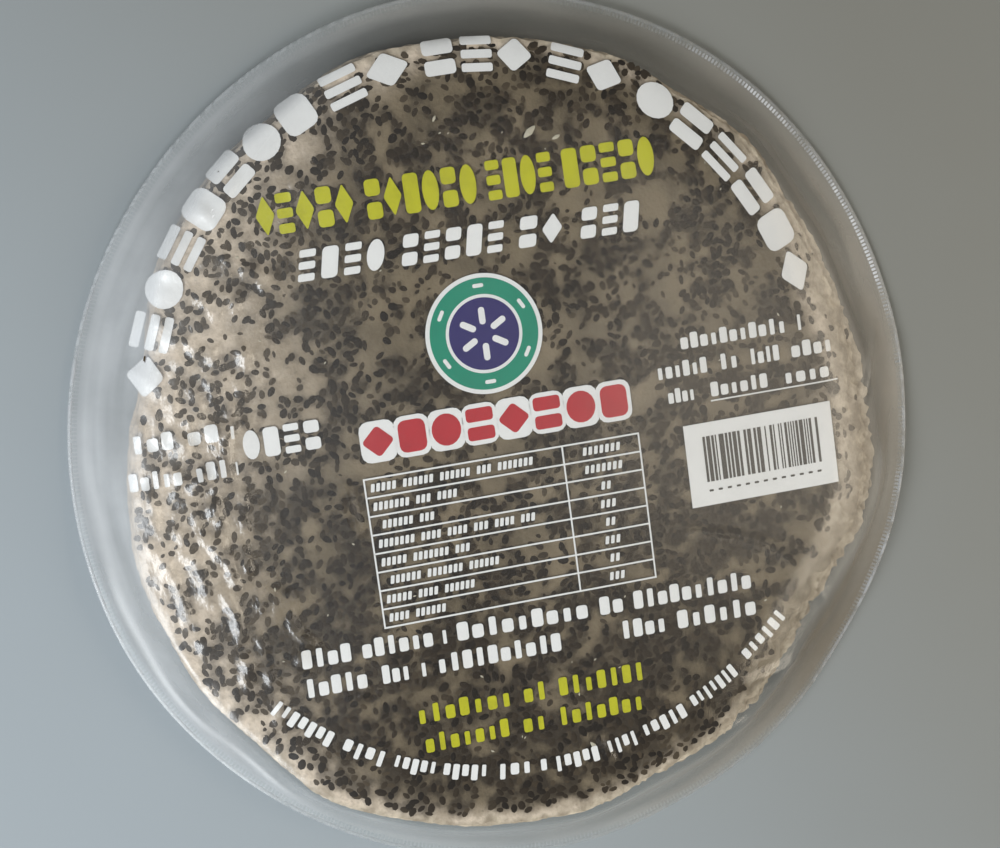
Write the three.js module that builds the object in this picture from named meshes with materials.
// A round clear pouch, sealed round its rim, packed with a stack of thin sesame rice papers.
//
// Millimetres, +Z up. The pouch lies flat with its printed film on top, and the origin is the
// middle of its footprint on the surface it lies on. +X points to a reader's right and +Y to the
// top of the print. The pouch is one closed body: its skin is the two films, drawn tight over the
// papers, and the flat weld that joins them round the rim.

import * as THREE from 'three';

// ---------------------------------------------------------------- driving dimensions

const POUCH_RADIUS = 100.9; // outer edge of the weld
const WELD_WIDTH = 3.4; // flat band where the two films are joined
const WELD_THICKNESS = 0.7;

const STACK_RADIUS = 90.6; // the rice papers
const STACK_HEIGHT = 11.8; // their flat middle, under the top film
const STACK_CENTRE = new THREE.Vector2(-0.3, -1.7);

const RIM_DROP = 1.4; // how far the top papers sink at their edge
const RIM_BAND = 20; // width of the band in which they sink
const RIM_CURL = 2.5; // 1 is a straight fall, more keeps it nearer the edge
const TERRACE_DROP = 3.4; // on one side the upper papers end short, so the film steps down
const TERRACE_BAND = 13;
const TERRACE_SIDE = { at: -18, reach: 46 }; // direction of that side, and how far round it goes
const FOOT_INSET = 2.2; // the bottom film leaves the table this far inside the papers' edge

const WELD_LOW = 1.3; // height of the weld's middle where the film is slack
const WELD_HIGH = 4.6; // and where the papers push up against it
const SLACK_MARGIN = 13; // film beside the papers that counts as slack
const TIGHT_MARGIN = 6; // and as tight

const FILM_HOLLOW = 1.7; // 1 is a straight fall from the papers to the weld, more is hollow
const UNDERSIDE_HOLLOW = 1.4;

// Places where the papers' edge stands out or falls back: direction, reach and distance out.
const EDGE_SWELLS = [
  { at: 104, reach: 26, out: 2.6 },
  { at: 238, reach: 24, out: 2.0 },
  { at: 345, reach: 11, out: 3.4 },
  { at: 166, reach: 13, out: -4.6 },
  { at: 20, reach: 22, out: -2.2 },
  { at: 319, reach: 7, out: -1.6 },
];

// Slow waves, each with its count round the rim (or over the papers), size and start.
const POUCH_EDGE_WAVES = [
  { count: 4, size: 0.22, start: 40 },
  { count: 7, size: 0.14, start: 110 },
];
const PAPER_EDGE_WAVES = [
  { count: 11, size: 0.45, start: 15 },
  { count: 17, size: 0.35, start: 80 },
];
const WELD_WAVES = [
  { count: 3, size: 0.3, start: 200 },
  { count: 8, size: 0.22, start: 20 },
  { count: 13, size: 0.16, start: 75 },
];
const PLEAT_WAVES = [
  { count: 19, size: 0.5, start: 30 },
  { count: 12, size: 0.4, start: 140 },
];
const PAPER_WARPS = [
  { along: 35, length: 150, size: 0.3, start: 20 },
  { along: 118, length: 96, size: 0.26, start: 160 },
  { along: 172, length: 61, size: 0.18, start: 250 },
];

// ---------------------------------------------------------------- how finely the skin is cut

const SECTORS = 144;
const PAPER_STEPS = [0.16, 0.32, 0.47, 0.6, 0.71, 0.8, 0.87, 0.93, 0.97, 1];
const TOP_FILM_STEPS = [0.12, 0.28, 0.48, 0.72, 1];
const UNDERSIDE_STEPS = [1, 0.66, 0.33, 0];

// ---------------------------------------------------------------- shape of the rim and papers

const radians = THREE.MathUtils.degToRad;

/** Adds up waves that run round the rim, at one angle in degrees. */
function roundWaves(waves, angle) {
  return waves.reduce(
    (sum, wave) => sum + wave.size * Math.sin(radians(wave.count * angle + wave.start)),
    0,
  );
}

/** Shortest way round from one direction to another, in degrees. */
function turnBetween(angle, other) {
  return THREE.MathUtils.euclideanModulo(angle - other + 180, 360) - 180;
}

/** Distance of the weld's outer edge from the origin. */
function pouchEdge(angle) {
  return POUCH_RADIUS + roundWaves(POUCH_EDGE_WAVES, angle);
}

/** Distance of the papers' edge from the origin. */
function stackEdge(angle) {
  const direction = new THREE.Vector2(Math.cos(radians(angle)), Math.sin(radians(angle)));
  const swell = EDGE_SWELLS.reduce((sum, { at, reach, out }) => {
    return sum + out * Math.exp(-((turnBetween(angle, at) / reach) ** 2));
  }, 0);
  return STACK_RADIUS + STACK_CENTRE.dot(direction) + swell + roundWaves(PAPER_EDGE_WAVES, angle);
}

/** Height of the middle of the weld: the less film there is beside the papers, the higher. */
function weldHeight(angle) {
  const margin = pouchEdge(angle) - stackEdge(angle);
  const slack = THREE.MathUtils.smoothstep(margin, TIGHT_MARGIN, SLACK_MARGIN);
  return THREE.MathUtils.lerp(WELD_HIGH, WELD_LOW, slack) + roundWaves(WELD_WAVES, angle);
}

/** How far the film steps down over papers that end short, at a distance from their edge. */
function terraceDrop(inset, angle) {
  const side = Math.exp(-((turnBetween(angle, TERRACE_SIDE.at) / TERRACE_SIDE.reach) ** 4));
  return TERRACE_DROP * side * (1 - THREE.MathUtils.smoothstep(inset, 0, TERRACE_BAND));
}

/** Height of the top paper, which is warped a little and sinks towards its edge. */
function paperHeight(radius, angle) {
  const x = radius * Math.cos(radians(angle));
  const y = radius * Math.sin(radians(angle));
  const warp = PAPER_WARPS.reduce((sum, { along, length, size, start }) => {
    const travel = x * Math.cos(radians(along)) + y * Math.sin(radians(along));
    return sum + size * Math.sin((2 * Math.PI * travel) / length + radians(start));
  }, 0);
  const inset = stackEdge(angle) - radius;
  const inBand = Math.max(0, 1 - inset / RIM_BAND);
  return STACK_HEIGHT + warp - RIM_DROP * inBand ** RIM_CURL - terraceDrop(inset, angle);
}

// ---------------------------------------------------------------- points of the skin

/** A point of the skin from its distance, direction and height. */
function polarPoint(radius, angle, height) {
  return new THREE.Vector3(
    radius * Math.cos(radians(angle)),
    radius * Math.sin(radians(angle)),
    height,
  );
}

/** A point on top of the papers: step 0 is the middle, 1 their edge. */
function onPapers(step, angle) {
  const radius = step * stackEdge(angle);
  return polarPoint(radius, angle, paperHeight(radius, angle));
}

/** A point of the film that falls from the papers' edge to the weld. */
function onTopFilm(step, angle) {
  const start = stackEdge(angle);
  const end = pouchEdge(angle) - WELD_WIDTH;
  const high = paperHeight(start, angle);
  const low = weldHeight(angle) + WELD_THICKNESS / 2;
  const pleat = roundWaves(PLEAT_WAVES, angle) * Math.sin(Math.PI * step) ** 2;
  const height = low + (high - low) * (1 - step) ** FILM_HOLLOW + pleat;
  return polarPoint(THREE.MathUtils.lerp(start, end, step), angle, height);
}

/** A point of the weld's outer edge, on its upper or its lower side. */
function onWeldEdge(side, angle) {
  return polarPoint(pouchEdge(angle), angle, weldHeight(angle) + (side * WELD_THICKNESS) / 2);
}

/** A point of the bottom film: step 1 is the weld, 0 where the film meets the table. */
function onUnderside(step, angle) {
  const start = stackEdge(angle) - FOOT_INSET;
  const end = pouchEdge(angle) - WELD_WIDTH;
  const high = weldHeight(angle) - WELD_THICKNESS / 2;
  const radius = THREE.MathUtils.lerp(start, end, step);
  return polarPoint(radius, angle, high * step ** UNDERSIDE_HOLLOW);
}

// ---------------------------------------------------------------- the closed skin

/** One ring of points for every station from the top's middle to the bottom's. */
function skinRings() {
  const stations = [
    ...PAPER_STEPS.map((step) => (angle) => onPapers(step, angle)),
    ...TOP_FILM_STEPS.map((step) => (angle) => onTopFilm(step, angle)),
    (angle) => onWeldEdge(+1, angle),
    (angle) => onWeldEdge(-1, angle),
    ...UNDERSIDE_STEPS.map((step) => (angle) => onUnderside(step, angle)),
  ];
  const angles = Array.from({ length: SECTORS }, (_, sector) => (360 * sector) / SECTORS);
  return stations.map((station) => angles.map(station));
}

/** Closes the rings into one skin, with a fan over each end. */
function skinGeometry() {
  const rings = skinRings();
  const topMiddle = 0;
  const bottomMiddle = 1;
  const points = [polarPoint(0, 0, paperHeight(0, 0)), new THREE.Vector3(), ...rings.flat()];
  const corner = (ring, sector) => 2 + ring * SECTORS + (sector % SECTORS);
  const last = rings.length - 1;
  const faces = [];
  for (let sector = 0; sector < SECTORS; sector += 1) {
    faces.push(topMiddle, corner(0, sector), corner(0, sector + 1));
    faces.push(bottomMiddle, corner(last, sector + 1), corner(last, sector));
    for (let ring = 0; ring < last; ring += 1) {
      const inner = corner(ring, sector);
      const innerNext = corner(ring, sector + 1);
      const outer = corner(ring + 1, sector);
      const outerNext = corner(ring + 1, sector + 1);
      faces.push(inner, outer, outerNext);
      faces.push(inner, outerNext, innerNext);
    }
  }
  const geometry = new THREE.BufferGeometry().setFromPoints(points);
  geometry.setIndex(faces);
  geometry.computeVertexNormals();
  return geometry;
}

/** Moves the geometry so that its box is centred on the origin, with its base kept at zero. */
function centreOnFootprint(geometry) {
  geometry.computeBoundingBox();
  const middle = geometry.boundingBox.getCenter(new THREE.Vector3());
  geometry.translate(-middle.x, -middle.y, 0);
  return geometry;
}

/** The packed pouch, in the tone of rice paper seen through clear film. */
function sealedPouch() {
  const film = new THREE.MeshStandardMaterial({
    color: 0x8c8070,
    roughness: 0.3,
    metalness: 0,
  });
  const pouch = new THREE.Mesh(centreOnFootprint(skinGeometry()), film);
  pouch.name = 'sealed_pouch';
  return pouch;
}

const ricePaperPack = new THREE.Group();
ricePaperPack.add(sealedPouch());

export default ricePaperPack;
